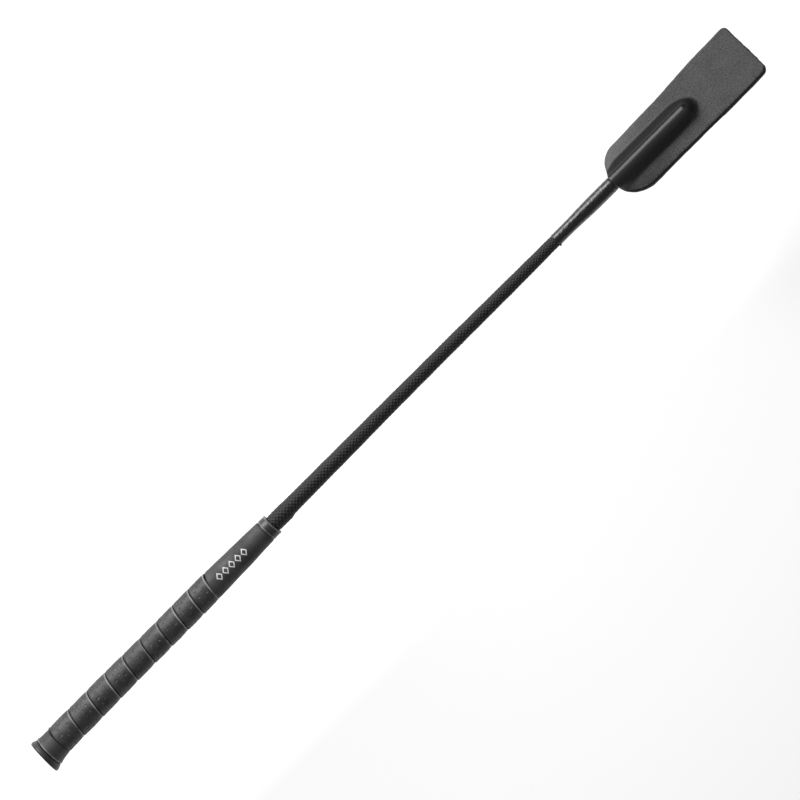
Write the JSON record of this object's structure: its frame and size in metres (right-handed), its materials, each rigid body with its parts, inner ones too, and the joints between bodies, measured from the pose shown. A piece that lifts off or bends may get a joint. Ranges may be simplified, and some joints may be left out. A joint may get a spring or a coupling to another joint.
{
  "type": "riding crop",
  "caption": "Short riding whip: flared, strip-wrapped handle, tapered braided flexible shaft, thread binding and a broad flat two-layer leather flap.",
  "frame": {"origin": "centre of the flat end face of the butt, on the shaft's axis", "axes": "+X along the shaft from the butt to the tip of the flap, +Z square to the flap's front face, +Y across the flap"},
  "size_m": [0.65, 0.0412, 0.0242],
  "materials": {
    "glass_fibre": "pultruded glass fibre, satin",
    "braid": "braided nylon, satin",
    "former": "matt",
    "grip_rubber": "matt moulded",
    "grip_strip": "perforated, soft satin",
    "underlay": "matt",
    "thread": "lacquered, glossy",
    "tip_cap": "matt",
    "leather": "smooth grain, semi-gloss"
  },
  "bodies": {
    "handle": {"butt_cap": "grip_rubber", "butt_collar": "grip_rubber", "handle_former": "former", "grip_underlay": "underlay", "grip_wrap": "grip_strip", "grip_sleeve": "grip_rubber", "mouth_ring": "grip_rubber", "core_rod_root": "glass_fibre", "braid_root": "braid"},
    "neck": {"core_rod_neck": "glass_fibre", "braid_neck": "braid"},
    "shaft": {"core_rod_main": "glass_fibre", "braid_main": "braid", "rod_tip_cap": "tip_cap", "thread_binding": "thread", "front_leather_pocket": "leather", "back_leather_pocket": "leather"},
    "flap_end": {"front_leather_free": "leather", "back_leather_free": "leather"}
  },
  "joints": [
    {"name": "shaft_bend", "type": "hinge", "parent": "handle", "child": "neck", "pos_m": [0.25, 0, 0], "axis": [0, 1, 0], "range_deg": [-15, 15], "stiffness_Nm_per_rad": 16},
    {"name": "shaft_sway", "type": "hinge", "parent": "neck", "child": "shaft", "pos_m": [0.32, 0, 0], "axis": [0, 0, 1], "range_deg": [-15, 15], "stiffness_Nm_per_rad": 14},
    {"name": "flap_bend", "type": "hinge", "parent": "shaft", "child": "flap_end", "pos_m": [0.604, 0, -0.0039], "axis": [0, 1, 0], "range_deg": [-50, 50], "stiffness_Nm_per_rad": 0.3}
  ]
}
